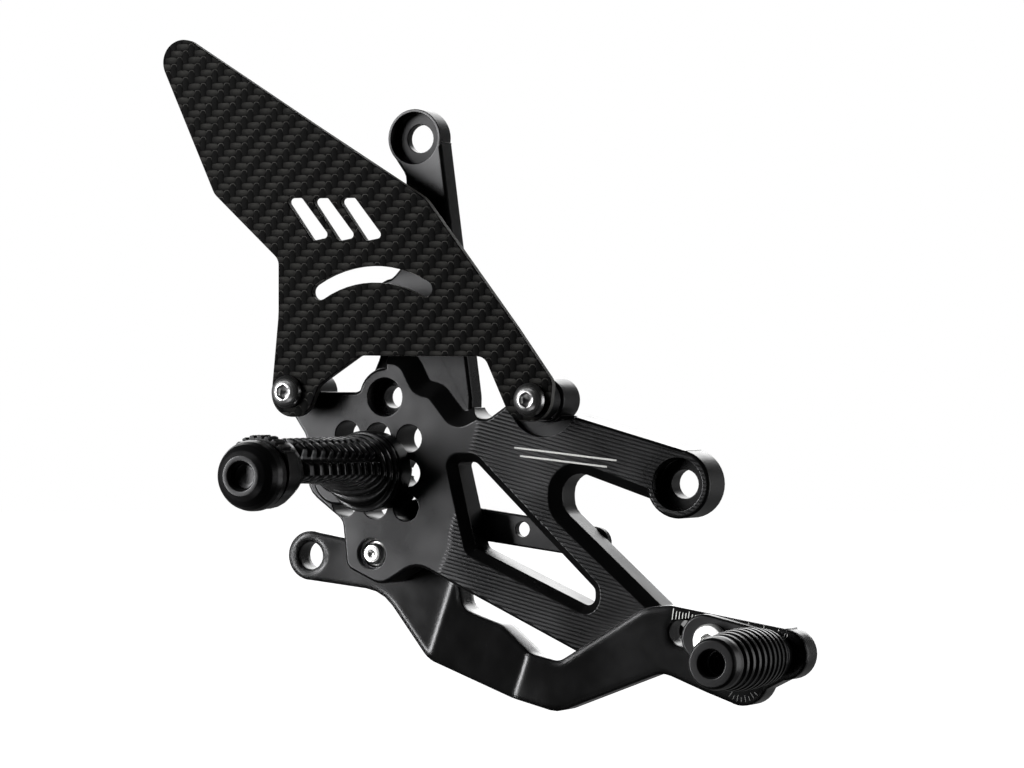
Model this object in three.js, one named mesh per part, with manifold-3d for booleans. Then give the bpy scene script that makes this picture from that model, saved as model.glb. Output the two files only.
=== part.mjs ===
// Motorcycle rearset, right-hand side: machined bracket, carbon heel guard, fixed foot peg,
// pivoting brake lever and a toe peg that slides along the lever's graduated slot.
// Millimetres. +X points to the front of the motorcycle, +Y inboard, +Z up. The origin lies
// where the foot peg's grid centre meets the bracket's flat inboard face.
import * as THREE from 'three';
import { mergeVertices } from 'three/addons/utils/BufferGeometryUtils.js';
import Module from 'manifold-3d';

const wasm = await Module();
wasm.setup();

// ---------------------------------------------------------------- driving dimensions
const GAP = 0.3;                       // clearance between pieces that touch
const RUN_OUT = 40;                    // how far cutting tools run past a piece
const BODY_THICK = 13;                 // bracket body
const ARM_THICK = 8;                   // upper arm of the bracket
const EDGE_CHAMFER = 0.8;
const WINDOW_CHAMFER = 2.8;            // wide chamfers around the window and the notch
const NOTCH_CHAMFER = 3.4;

const UPPER_BOSS = { x: 10.8, z: 106, r: 9.2 };
const FRONT_BOSS = { x: 103.4, z: -2.8, r: 10.6 };
const FRAME_HOLE = 9.0;
const FRAME_COUNTERBORE = 16.4;
const UPPER_COUNTERBORE_DEPTH = 4.6;
const FRONT_COUNTERBORE_DEPTH = 6;

const CYLINDER_HOLES = [               // counterbored holes for a master cylinder
  { x: 2.9, z: 23.9, bore: 12.2, hole: 7, front: -BODY_THICK, depth: 6.5, ring: 9.3 },
  { x: 3.7, z: 53.1, bore: 11.4, hole: 6.6, front: -ARM_THICK, depth: 4, ring: 8.6 },
];

const GRID_PITCH = 10.9;               // three by three peg positions
const GRID_HOLE = 8.8;
const GRID_TILT = THREE.MathUtils.degToRad(-3);
const PEG_AXIS_Z = 0.5;

const REAR_GUARD = { x: -26.7, z: 25.5, r: 6.3 };
const FRONT_GUARD = { x: 58.1, z: 23.1, r: 6.9 };
const GUARD_BACK = -19.8;
const GUARD_THICK = 2.7;
const GUARD_HOLE = 6.6;
const SPACER_RADIUS = 6.2;
const GUARD_RECESS = { r: 11.6, depth: 2.4 };

const PIVOT = { x: -1.8, z: -25.8 };
const PIVOT_POCKET = { d: 10, depth: 2.6 };
const PIVOT_BOLT_DIAMETER = 8;
const PIVOT_END_DIAMETER = 6.6;

const LEVER_BACK_PLANE = 1;            // outboard face of the lever behind the bracket
const LEVER_FRONT_PLANE = -25;         // outboard face of the toe blade
const LEVER_THICK = 9;
const LEVER_LEAN = THREE.MathUtils.degToRad(19);   // tilt of both bends
const LEVER_BEND_START = 30.7;         // along the leaning lever axis
const LEVER_BEND_END = 72.7;
const EYE = { x: -31, z: -27.3, r: 7.9, d: 9 };

const SLOT = { x0: 109.5, z0: -47.7, x1: 135.5, z1: -51.8, width: 8.2 };
const CLAMP = { x: 121.5, z: -49.6 };
const TOE = { x: 139.2, z: -53.7 };
const TOE_BASE = -29.3;
const TOE_TIP = -72.4;
const CARRIER_THICK = 3.7;

const PEG_BASE = -21.3;
const PEG_NECK = -77;
const COLLAR_BACK = -86.6;
const CAP_BACK = -93;
const CAP_FRONT = -103.4;

// ---------------------------------------------------------------- outlines (x, z, corner radius)
const ARM_OUTLINE = [
  [3.6, 100.5, 0], [7.7, 94, 5], [6.6, 65, 8], [-4.9, 55.5, 5], [-4.6, 47, 6], [-1.2, 37.5, 5],
  [-5.5, 28, 0], [0, 10, 0], [30.6, 10, 0], [30.9, 24, 8], [29.6, 34, 0], [20.1, 104.5, 0],
];
const BODY_OUTLINE = [
  [-22, 25.5, 0], [-6.2, 25.5, 3], [-3.4, 30.6, 0], [2.9, 33.2, 0], [2.9, 42, 0], [31.4, 42, 0],
  [31.4, 16.6, 6], [39, 17.2, 4], [53.4, 27, 0], [61, 18, 0], [67.5, 18.2, 4], [106.2, 7.4, 0],
  [110, -2, 0], [108, -40, 0], [106, -48.5, 4], [78, -59.2, 7], [27, -35, 8], [14, -28.6, 8],
  [1.6, -36, 6], [-10.9, -30.2, 4], [-12.4, -15.3, 4], [-24.7, -6, 8], [-25.4, 11.5, 5],
  [-31.6, 20.6, 0],
];
const STEP_OUTLINE = [
  [-60, 60, 0], [-9, 60, 0], [-5.4, 29.4, 0], [-1.6, 34.4, 5], [7.9, 34.4, 5], [12.9, 24.9, 6],
  [18.6, 23.4, 2.5], [27.2, 12.9, 6.5], [37.6, 18, 0], [40, 60, 0], [150, 60, 0], [150, -90, 0],
  [-60, -90, 0],
];
const WINDOW_OUTLINE = [
  [23.4, 6.3, 4], [34.8, 6.3, 5], [77.4, -34.4, 5.2], [77.4, -46.2, 5.2], [31.2, -25.6, 5],
];
const NOTCH_OUTLINE = [
  [59.8, 7.3, 9.5], [94, -4.2, 0], [160, -14, 0], [160, -99, 0], [59.8, -12.3, 9.5],
];
const GUARD_OUTLINE = [
  [-81.5, 150.2, 7.2], [-10.5, 105.9, 20], [21.8, 86.2, 9],
  [53, 46, 30], [65.6, 28.8, 4], [64.4, 16.4, 7.4], [51.6, 16.4, 7.2], [42.2, 36.6, 4],
  [-1.2, 37, 2], [-15.6, 27.7, 5], [-20, 17.6, 7], [-33.4, 17.6, 7.4], [-30.2, 50, 30],
  [-30.2, 67.6, 4], [-53.4, 88.8, 6],
];
const GUARD_SLOTS = [[-26.3, 87.1], [-17, 86.9], [-7.4, 86.8]];   // upper rear corners
const LEVER_OUTLINE = [
  [-31, -19.4, 0], [-14, -22.4, 0], [-2, -17.4, 0], [12, -22.5, 8], [21.5, -32.5, 6],
  [25.2, -43, 6], [44, -47, 8], [59, -55.4, 8], [68.6, -57.6, 6], [97.4, -40.2, 12],
  [105.6, -39.4, 4], [144.2, -45.9, 0], [145, -55, 0], [143, -61.2, 0], [133.5, -66, 0],
  [126.3, -68.5, 0], [117.6, -65.4, 5], [103.4, -59.8, 8], [68.2, -73.2, 8], [53, -69.2, 12],
  [11.4, -59.8, 7], [-5, -38.2, 14], [-31.9, -35.1, 0],
];
const LEVER_LOBES = [{ x: 143, z: -53.5, r: 7.7 }, { x: 129.7, z: -61.1, r: 8.2 }];
const BAR = { x0: 8, z0: -13.5, x1: 69.4, z1: -21.6, r: 5, back: 3.3, hole: [44.8, -17.8, 4.8] };
const BAR_SCREW = { x: 20.5, z: -15.2 };

// ---------------------------------------------------------------- geometry helpers
function solidFrom(geometry) {
  const bare = geometry.clone();
  bare.deleteAttribute('normal');
  bare.deleteAttribute('uv');
  const merged = mergeVertices(bare, 1e-4);
  const source = merged.index.array;
  const kept = [];
  for (let i = 0; i < source.length; i += 3) {
    const [a, b, c] = [source[i], source[i + 1], source[i + 2]];
    if (a !== b && b !== c && c !== a) kept.push(a, b, c);
  }
  const places = merged.attributes.position.array;
  if (signedVolume(places, kept) < 0) {
    for (let i = 0; i < kept.length; i += 3) {
      [kept[i + 1], kept[i + 2]] = [kept[i + 2], kept[i + 1]];
    }
  }
  const mesh = new wasm.Mesh({
    numProp: 3,
    vertProperties: Float32Array.from(places),
    triVerts: Uint32Array.from(kept),
  });
  return new wasm.Manifold(mesh);
}

function signedVolume(places, triangles) {
  const corner = (n) => new THREE.Vector3().fromArray(places, 3 * n);
  let total = 0;
  for (let i = 0; i < triangles.length; i += 3) {
    const [a, b, c] = [corner(triangles[i]), corner(triangles[i + 1]), corner(triangles[i + 2])];
    total += a.dot(b.cross(c));
  }
  return total;
}

function geometryFrom(solid) {
  const { vertProperties, triVerts } = solid.getMesh();
  const geometry = new THREE.BufferGeometry();
  geometry.setAttribute('position', new THREE.Float32BufferAttribute(vertProperties, 3));
  geometry.setIndex(Array.from(triVerts));
  return geometry;
}

// Points of a closed outline whose corners are rounded by arcs.
function rounded(corners, stepDegrees = 15) {
  const points = [];
  const count = corners.length;
  corners.forEach(([x, z, radius], n) => {
    const here = new THREE.Vector2(x, z);
    if (!radius) {
      points.push(here);
      return;
    }
    const [px, pz] = corners[(n + count - 1) % count];
    const [nx, nz] = corners[(n + 1) % count];
    const toPrevious = new THREE.Vector2(px, pz).sub(here).normalize();
    const toNext = new THREE.Vector2(nx, nz).sub(here).normalize();
    const half = Math.acos(THREE.MathUtils.clamp(toPrevious.dot(toNext), -1, 1)) / 2;
    const bisector = toPrevious.clone().add(toNext).normalize();
    const centre = here.clone().addScaledVector(bisector, radius / Math.sin(half));
    const start = here.clone().addScaledVector(toPrevious, radius / Math.tan(half)).sub(centre);
    const turn = (Math.PI - 2 * half) * Math.sign(toPrevious.cross(toNext)) * -1;
    const steps = Math.max(1, Math.round(Math.abs(turn) / THREE.MathUtils.degToRad(stepDegrees)));
    for (let i = 0; i <= steps; i += 1) {
      points.push(start.clone().rotateAround(new THREE.Vector2(), turn * i / steps).add(centre));
    }
  });
  return points;
}

function circle(radius, count = 28) {
  return Array.from({ length: count }, (_, n) => {
    const angle = 2 * Math.PI * n / count;
    return new THREE.Vector2(radius * Math.cos(angle), radius * Math.sin(angle));
  });
}

// A flat plate standing in the XZ plane, from yBack to yFront, with its front edge chamfered.
// `spread` moves the front outline outwards before the chamfer is taken off.
function plate(points, yBack, yFront, chamfer = 0, spread = 0) {
  const depth = yBack - yFront - chamfer;
  const geometry = new THREE.ExtrudeGeometry(new THREE.Shape(points), {
    depth,
    bevelEnabled: chamfer > 0,
    bevelThickness: chamfer,
    bevelSize: chamfer,
    bevelOffset: spread - chamfer,
    bevelSegments: 1,
  });
  const turned = standUp(geometry, yBack);
  if (!chamfer) return turned;
  return turned.intersect(slab(yBack, yFront - 1));
}

// A tool that cuts straight through, with its mouth at yFront flared by the chamfer.
function flaredCutter(points, yFront, flare) {
  const over = 0.3;
  const geometry = new THREE.ExtrudeGeometry(new THREE.Shape(points), {
    depth: RUN_OUT,
    bevelThickness: flare + over,
    bevelSize: -flare - over,
    bevelOffset: over,
    bevelSegments: 1,
  });
  return standUp(geometry, yFront + flare + RUN_OUT);
}

function standUp(geometry, yBack) {
  geometry.rotateX(Math.PI / 2);
  geometry.translate(0, yBack, 0);
  return solidFrom(geometry);
}

function slab(yBack, yFront) {
  const size = 600;
  const geometry = new THREE.BoxGeometry(size, yBack - yFront, size);
  geometry.translate(0, (yBack + yFront) / 2, 0);
  return solidFrom(geometry);
}

// A turned piece on an axis along Y through (x, z); profile is [radius, y], on axis at both ends.
function turnedAt(x, z, profile, segments = 24) {
  const points = profile.map(([radius, y]) => new THREE.Vector2(radius, y));
  const geometry = new THREE.LatheGeometry(points, segments);
  geometry.translate(x, 0, z);
  return solidFrom(geometry);
}

function cylinderAt(x, z, diameter, yBack, yFront, segments = 24) {
  const r = diameter / 2;
  return turnedAt(x, z, [[0, yBack], [r, yBack], [r, yFront], [0, yFront]], segments);
}

function drill(solid, x, z, diameter, yBack, yFront, segments = 24) {
  return solid.subtract(cylinderAt(x, z, diameter, yBack, yFront, segments));
}

function moved(points, x, z) {
  return points.map((point) => point.clone().add(new THREE.Vector2(x, z)));
}

// Outline of a bar with round ends.
function obround({ x0, z0, x1, z1 }, radius) {
  const along = new THREE.Vector2(x1 - x0, z1 - z0);
  const heading = along.angle();
  const points = [];
  for (const [x, z, from] of [[x1, z1, heading - Math.PI / 2], [x0, z0, heading + Math.PI / 2]]) {
    for (let n = 0; n <= 12; n += 1) {
      const angle = from + Math.PI * n / 12;
      points.push(new THREE.Vector2(x + radius * Math.cos(angle), z + radius * Math.sin(angle)));
    }
  }
  return points;
}

// Joins oval sections into one closed skin along Y. A section has its own half width, its
// height above the peg axis and its depth below it.
function ovalStack(sections, segments) {
  const places = [];
  const triangles = [];
  for (const { y, half, top, bottom } of sections) {
    for (let n = 0; n < segments; n += 1) {
      const angle = 2 * Math.PI * n / segments;
      const reach = Math.sin(angle) > 0 ? top : bottom;
      places.push(half * Math.cos(angle), y, PEG_AXIS_Z + reach * Math.sin(angle));
    }
  }
  for (let row = 0; row + 1 < sections.length; row += 1) {
    for (let n = 0; n < segments; n += 1) {
      const a = row * segments + n;
      const b = row * segments + (n + 1) % segments;
      triangles.push(a, b, b + segments, a, b + segments, a + segments);
    }
  }
  const last = sections.length - 1;
  for (const [row, order] of [[0, [0, 2, 1]], [last, [0, 1, 2]]]) {
    const hub = places.length / 3;
    places.push(0, sections[row].y, PEG_AXIS_Z);
    for (let n = 0; n < segments; n += 1) {
      const corner = [hub, row * segments + n, row * segments + (n + 1) % segments];
      triangles.push(corner[order[0]], corner[order[1]], corner[order[2]]);
    }
  }
  const geometry = new THREE.BufferGeometry();
  geometry.setAttribute('position', new THREE.Float32BufferAttribute(places, 3));
  geometry.setIndex(triangles);
  return solidFrom(geometry);
}

// ---------------------------------------------------------------- materials
const paint = (color, roughness, metalness) =>
  new THREE.MeshStandardMaterial({ color, roughness, metalness });
const anodised = () => paint(0x141414, 0.4, 0.7);
const carbon = () => paint(0x1a1a1a, 0.35, 0.1);
const steel = () => paint(0xc9c9c6, 0.25, 1);
const blackSteel = () => paint(0x0c0c0c, 0.5, 0.6);
const bronze = () => paint(0xa0783c, 0.4, 1);

const group = new THREE.Group();

function add(name, solid, material) {
  const mesh = new THREE.Mesh(geometryFrom(solid), material);
  mesh.name = name;
  group.add(mesh);
}

// ---------------------------------------------------------------- bracket
function gridHoles() {
  const places = [];
  for (const row of [-1, 0, 1]) {
    for (const column of [-1, 0, 1]) {
      const at = new THREE.Vector2(column, row).multiplyScalar(GRID_PITCH);
      at.rotateAround(new THREE.Vector2(), GRID_TILT);
      places.push([at.x, at.y + PEG_AXIS_Z]);
    }
  }
  return places;
}

function bracket() {
  const disc = ({ x, z, r }, front, chamfer = EDGE_CHAMFER) =>
    plate(moved(circle(r, 40), x, z), 0, front, chamfer);
  const armFoot = { x: CYLINDER_HOLES[1].x, z: CYLINDER_HOLES[1].z, r: CYLINDER_HOLES[1].ring };
  const bodyTop = { x: CYLINDER_HOLES[0].x, z: CYLINDER_HOLES[0].z, r: CYLINDER_HOLES[0].ring };
  const arm = plate(rounded(ARM_OUTLINE), 0, -ARM_THICK, EDGE_CHAMFER)
    .add(disc(UPPER_BOSS, -ARM_THICK, 0))
    .add(disc(armFoot, -ARM_THICK));
  const step = plate(rounded(STEP_OUTLINE), 0, -BODY_THICK, BODY_THICK - ARM_THICK,
    BODY_THICK - ARM_THICK);
  let body = plate(rounded(BODY_OUTLINE), 0, -BODY_THICK, EDGE_CHAMFER)
    .add(disc(bodyTop, -BODY_THICK))
    .intersect(step)
    .add(disc(REAR_GUARD, -BODY_THICK))
    .add(disc(FRONT_GUARD, -BODY_THICK));
  body = body.subtract(flaredCutter(rounded(WINDOW_OUTLINE), -BODY_THICK, WINDOW_CHAMFER));
  body = body.subtract(flaredCutter(rounded(NOTCH_OUTLINE), -BODY_THICK, NOTCH_CHAMFER));
  body = body.add(disc(FRONT_BOSS, -BODY_THICK)).add(arm);
  body = body.subtract(edgeCutter(24, -33.6, 76, -58.8, -BODY_THICK, 2.8));
  body = body.subtract(edgeCutter(29.6, 34, 23.2, 80.8, -ARM_THICK, 2.6));
  body = body.subtract(edgeCutter(22.2, 82, 22.2, 103, -ARM_THICK, 2));
  body = body.subtract(guardRecess());

  const past = 1;
  body = drill(body, UPPER_BOSS.x, UPPER_BOSS.z, FRAME_HOLE, past, -RUN_OUT);
  body = drill(body, UPPER_BOSS.x, UPPER_BOSS.z, FRAME_COUNTERBORE,
    -ARM_THICK + UPPER_COUNTERBORE_DEPTH, -RUN_OUT, 40);
  body = drill(body, FRONT_BOSS.x, FRONT_BOSS.z, FRAME_HOLE, past, -RUN_OUT);
  body = drill(body, FRONT_BOSS.x, FRONT_BOSS.z, FRAME_COUNTERBORE,
    -BODY_THICK + FRONT_COUNTERBORE_DEPTH, -RUN_OUT, 40);
  for (const { x, z, bore, hole, front, depth } of CYLINDER_HOLES) {
    body = drill(body, x, z, hole, past, -RUN_OUT);
    body = drill(body, x, z, bore, front + depth, -RUN_OUT, 32);
  }
  for (const [x, z] of gridHoles()) {
    body = drill(body, x, z, GRID_HOLE, past, -RUN_OUT, 24);
  }
  body = drill(body, 0, PEG_AXIS_Z, PEG_SCREW.headDiameter + 2 * GAP, past, -PEG_SCREW.headDeep);
  body = drill(body, PIVOT.x, PIVOT.z, PIVOT_POCKET.d, -BODY_THICK + PIVOT_POCKET.depth, -RUN_OUT);
  body = drill(body, PIVOT.x, PIVOT.z, PIVOT_BOLT_DIAMETER + 2 * GAP, past,
    -BODY_THICK + PIVOT_POCKET.depth - past);
  for (const { x, z } of [REAR_GUARD, FRONT_GUARD]) {
    body = drill(body, x, z, 6 + 2 * GAP, past, -RUN_OUT, 20);
  }
  body = drill(body, BAR_SCREW.x, BAR_SCREW.z, 4 + 2 * GAP, past, -8, 16);
  return body;
}

// A 45 degree cutter along the front edge between two points, on the right of the walk.
function edgeCutter(x0, z0, x1, z1, front, size) {
  const along = new THREE.Vector2(x1 - x0, z1 - z0);
  const wide = 12;
  const geometry = new THREE.BoxGeometry(along.length() + 6, wide, wide);
  geometry.translate(0, -wide / 2, 0);
  geometry.rotateX(Math.PI / 4);
  geometry.translate(0, front + size / 2, 0);
  geometry.translate(0, 0, -size / 2);
  geometry.rotateY(-along.angle());
  geometry.translate((x0 + x1) / 2, 0, (z0 + z1) / 2);
  return solidFrom(geometry);
}

function guardRecess() {
  const { x, z } = FRONT_GUARD;
  const floor = -BODY_THICK + GUARD_RECESS.depth;
  const inner = SPACER_RADIUS + 0.7;
  const outer = GUARD_RECESS.r;
  const ring = [[inner, floor], [outer, floor], [outer, -RUN_OUT], [inner, -RUN_OUT], [inner, floor]];
  return turnedAt(x, z, ring, 40);
}

// ---------------------------------------------------------------- heel guard and its fasteners
function heelGuard() {
  const front = GUARD_BACK - GUARD_THICK;
  let guard = plate(rounded(GUARD_OUTLINE, 6), GUARD_BACK, front);
  for (const [x, z] of GUARD_SLOTS) {
    const slot = [[x - 1.6, z, 1.2], [x + 4.4, z, 1.2], [x + 14.6, z - 12.6, 1.2], [x + 8.4, z - 13.7, 1.2]];
    guard = guard.subtract(plate(rounded(slot, 30), GUARD_BACK + 1, front - 1));
  }
  guard = guard.subtract(plate(archedSlot(), GUARD_BACK + 1, front - 1));
  for (const { x, z } of [REAR_GUARD, FRONT_GUARD]) {
    guard = drill(guard, x, z, GUARD_HOLE, GUARD_BACK + 1, front - 1, 24);
  }
  return guard;
}

// A gently arched lightening slot with round ends.
function archedSlot() {
  const points = [];
  const [centreX, centreZ, radius, half] = [3.6, 26.6, 36, 2.6];
  const [from, to] = [THREE.MathUtils.degToRad(122), THREE.MathUtils.degToRad(60)];
  const steps = 12;
  const arc = (r, a) => new THREE.Vector2(centreX + r * Math.cos(a), centreZ + r * Math.sin(a));
  for (let n = 0; n <= steps; n += 1) points.push(arc(radius + half, from + (to - from) * n / steps));
  for (let n = 1; n < 6; n += 1) {
    const turn = to + Math.PI / 2 - Math.PI * (n / 6) - Math.PI / 2;
    points.push(arc(radius, to).add(new THREE.Vector2(Math.cos(turn), Math.sin(turn)).multiplyScalar(half)));
  }
  for (let n = steps; n >= 0; n -= 1) points.push(arc(radius - half, from + (to - from) * n / steps));
  for (let n = 1; n < 6; n += 1) {
    const turn = from + Math.PI - Math.PI * (n / 6);
    points.push(arc(radius, from).add(new THREE.Vector2(Math.cos(turn), Math.sin(turn)).multiplyScalar(half)));
  }
  return points;
}

function guardSpacer({ x, z }, back) {
  const front = GUARD_BACK + GAP;
  const ring = [[3.3, back], [SPACER_RADIUS, back], [SPACER_RADIUS, front], [3.3, front], [3.3, back]];
  return turnedAt(x, z, ring);
}

// Button-head screw whose head bears on `seat` and whose shank runs inboard to `end`.
function buttonScrew({ x, z }, seat, end, { head, height, shank, socket }) {
  const profile = [[0, end], [shank / 2, end], [shank / 2, seat], [head / 2, seat],
    [head / 2, seat - height * 0.25], [head * 0.42, seat - height * 0.66],
    [head * 0.3, seat - height * 0.92], [head * 0.22, seat - height], [0, seat - height]];
  const screw = turnedAt(x, z, profile);
  return screw.subtract(cylinderAt(x, z, socket * 1.155, seat - height + socket * 0.5, seat - 20, 6));
}

// ---------------------------------------------------------------- foot peg
const PEG_SCREW = { diameter: 8, headDiameter: 13, headDeep: 6, end: -32 };
const ADAPTER_SCREW = { x: -GRID_PITCH * Math.cos(GRID_TILT), z: 0.4, shank: 6.6 };
const ADAPTER_LOBES = [{ x: -10.9, z: 0, r: 8.4 }, { x: -10.6, z: -1.4, r: 9 }];

function pegAdapter() {
  const back = -BODY_THICK - GAP;
  const front = PEG_BASE + GAP;
  let adapter = plate(moved(circle(12.6, 36), 0, PEG_AXIS_Z), back, front, 0.6);
  for (const { x, z, r } of ADAPTER_LOBES) {
    adapter = adapter.add(plate(moved(circle(r, 32), x, z), back, front + 1.4, 0.8));
  }
  adapter = drill(adapter, 0, PEG_AXIS_Z, PEG_SCREW.diameter + 2 * GAP, 0, -RUN_OUT, 24);
  adapter = drill(adapter, ADAPTER_SCREW.x, ADAPTER_SCREW.z, ADAPTER_SCREW.shank + 2 * GAP, 0, -RUN_OUT, 24);
  return drill(adapter, ADAPTER_SCREW.x, ADAPTER_SCREW.z, 13.8, front + 5.5, -RUN_OUT, 28);
}

function adapterScrew() {
  const { x, z, shank } = ADAPTER_SCREW;
  const seat = PEG_BASE + 5.2;
  const profile = [[0, -1], [shank / 2, -1], [shank / 2, seat], [6.5, seat], [6.5, seat - 3.4], [6, seat - 4], [0, seat - 4]];
  const screw = turnedAt(x, z, profile);
  return screw.subtract(cylinderAt(x, z, 5.8, seat - 1.5, seat - 10, 6));
}

// Half width, crown height and belly depth of the ribbed grip; t is 0 at the base, 1 at the neck.
function gripSection(t) {
  return {
    half: 12.3 - 4.7 * t ** 5,
    top: 11.1 + 1.9 * (1 - t) ** 8,
    bottom: Math.min(12.8, 2.9 + 4.2 * (1 - t) ** 2.5 + 8.5 * (1 - t) ** 8),
  };
}

function pegRound(y, r) {
  return { y, half: r, top: r, bottom: r };
}

function footPeg() {
  const ribs = 13;
  const rows = [];
  for (let n = 0; n < ribs; n += 1) {
    for (const [part, cut] of [[0.02, 0], [0.5, 0], [0.6, 1.1], [0.92, 1.1]]) {
      const t = (n + part) / ribs;
      const { half, top, bottom } = gripSection(t);
      const y = PEG_BASE + (PEG_NECK - PEG_BASE) * t;
      rows.push({ y, half: half - cut, top: top - cut, bottom: bottom - cut });
    }
  }
  rows.push({ y: PEG_NECK, ...gripSection(1) });
  rows.push({ y: PEG_NECK - 3, half: 9, top: 11, bottom: 5.6 });
  rows.push({ y: PEG_NECK - 6, half: 9.6, top: 11.2, bottom: 8.6 });
  rows.push({ y: COLLAR_BACK + GAP, half: 9.8, top: 11.3, bottom: 9.4 });
  rows.push(pegRound(COLLAR_BACK + GAP, 5.2), pegRound(CAP_BACK - 5, 5.2));
  const peg = ovalStack(rows, 24);
  return drill(peg, 0, PEG_AXIS_Z, PEG_SCREW.diameter + 2 * GAP, 0, PEG_SCREW.end - 2, 24);
}

function pegScrew() {
  const { headDiameter, diameter, headDeep, end } = PEG_SCREW;
  const seat = -headDeep + GAP;
  const profile = [[0, -0.4], [headDiameter / 2, -0.4], [headDiameter / 2, seat], [diameter / 2, seat],
    [diameter / 2, end], [0, end]];
  return turnedAt(0, PEG_AXIS_Z, profile).subtract(cylinderAt(0, PEG_AXIS_Z, 6.9, 5, -4, 6));
}

// Wear ring between the grip and the end cap, toothed over its crown and smooth below.
function pegCollar() {
  const teeth = 26;
  const points = [];
  for (let n = 0; n < teeth; n += 1) {
    const crown = n > 1 && n < teeth / 2 - 2;
    for (const [part, cut] of crown ? [[0, 0], [0.5, 0], [0.6, 1], [0.9, 1]] : [[0, 0.3]]) {
      const angle = 2 * Math.PI * (n + part) / teeth;
      const r = 11.4 - cut;
      points.push(new THREE.Vector2(r * Math.cos(angle), PEG_AXIS_Z + 0.9 + r * Math.sin(angle)));
    }
  }
  const ring = plate(points, COLLAR_BACK, CAP_BACK + GAP);
  return drill(ring, 0, PEG_AXIS_Z, 10.4 + 2 * GAP, 0, -200);
}

function pegCap() {
  const profile = [[0, CAP_BACK], [10.2, CAP_BACK], [10.7, CAP_BACK - 0.8], [10.7, CAP_BACK - 3.4],
    [10.3, CAP_BACK - 5.4], [9.3, CAP_BACK - 7.6], [7.7, CAP_BACK - 9.4], [6, CAP_FRONT],
    [4.2, CAP_FRONT + 0.5], [3.9, CAP_FRONT + 1.2], [3.9, CAP_FRONT + 4.4], [0, CAP_FRONT + 4.4]];
  const cap = turnedAt(0, PEG_AXIS_Z, profile, 32);
  return drill(cap, 0, PEG_AXIS_Z, 10.4 + 2 * GAP, 0, CAP_BACK - 5.3, 24);
}

// ---------------------------------------------------------------- brake lever
function brakeLever() {
  const rise = LEVER_BACK_PLANE - LEVER_FRONT_PLANE;
  const slope = Math.atan2(rise, LEVER_BEND_END - LEVER_BEND_START);
  const shift = LEVER_THICK * Math.tan(slope / 2);
  const band = [
    [-80, LEVER_BACK_PLANE, 0], [LEVER_BEND_START, LEVER_BACK_PLANE, 5],
    [LEVER_BEND_END, LEVER_FRONT_PLANE, 5], [200, LEVER_FRONT_PLANE, 0],
    [200, LEVER_FRONT_PLANE + LEVER_THICK, 0],
    [LEVER_BEND_END + shift, LEVER_FRONT_PLANE + LEVER_THICK, 6],
    [LEVER_BEND_START + shift, LEVER_BACK_PLANE + LEVER_THICK, 6],
    [-80, LEVER_BACK_PLANE + LEVER_THICK, 0],
  ];
  const height = 200;
  const strip = new THREE.ExtrudeGeometry(new THREE.Shape(rounded(band, 8)), {
    depth: height,
    bevelEnabled: false,
  });
  strip.translate(0, 0, -height / 2);
  strip.rotateY(LEVER_LEAN);
  let outline = plate(rounded(LEVER_OUTLINE), RUN_OUT, -RUN_OUT);
  for (const { x, z, r } of [EYE, { ...PIVOT, r: 8.5 }, ...LEVER_LOBES]) {
    outline = outline.add(cylinderAt(x, z, 2 * r, RUN_OUT, -RUN_OUT, 36));
  }
  let lever = solidFrom(strip).intersect(outline);
  lever = drill(lever, EYE.x, EYE.z, EYE.d, RUN_OUT, -RUN_OUT);
  lever = drill(lever, PIVOT.x, PIVOT.z, 12 + 2 * GAP, RUN_OUT, -RUN_OUT);
  const slot = plate(obround(SLOT, SLOT.width / 2), 0, -RUN_OUT);
  return lever.subtract(slot);
}

function pivotBolt() {
  const head = LEVER_BACK_PLANE + LEVER_THICK + 1.5;
  const bolt = PIVOT_BOLT_DIAMETER / 2;
  const tip = PIVOT_END_DIAMETER / 2;
  const step = -BODY_THICK + PIVOT_POCKET.depth + 0.4;
  const profile = [[0, head + 4.4], [6.5, head + 4.4], [7, head + 3.8], [7, head], [bolt, head],
    [bolt, step], [tip, step], [tip, -BODY_THICK + 0.8], [tip - 0.5, -BODY_THICK + 0.3], [0, -BODY_THICK + 0.3]];
  return turnedAt(PIVOT.x, PIVOT.z, profile).subtract(cylinderAt(PIVOT.x, PIVOT.z, 6.9, 40, head + 1.5, 6));
}

function washer(x, z, inner, outer, yBack, yFront) {
  const ring = [[inner / 2, yBack], [outer / 2, yBack], [outer / 2, yFront], [inner / 2, yFront],
    [inner / 2, yBack]];
  return turnedAt(x, z, ring);
}

// ---------------------------------------------------------------- toe peg and its slider
function toeCarrier() {
  const back = LEVER_FRONT_PLANE - GAP;
  const front = back - CARRIER_THICK;
  const heel = { x0: CLAMP.x - 3, z0: CLAMP.z + 0.7 };
  let carrier = plate(obround({ ...heel, x1: TOE.x, z1: TOE.z }, 7.3), back, front, 0.6);
  carrier = drill(carrier, CLAMP.x, CLAMP.z, 6.8, 0, -RUN_OUT, 24);
  return drill(carrier, TOE.x, TOE.z, 6.6, 0, -RUN_OUT, 24);
}

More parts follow.
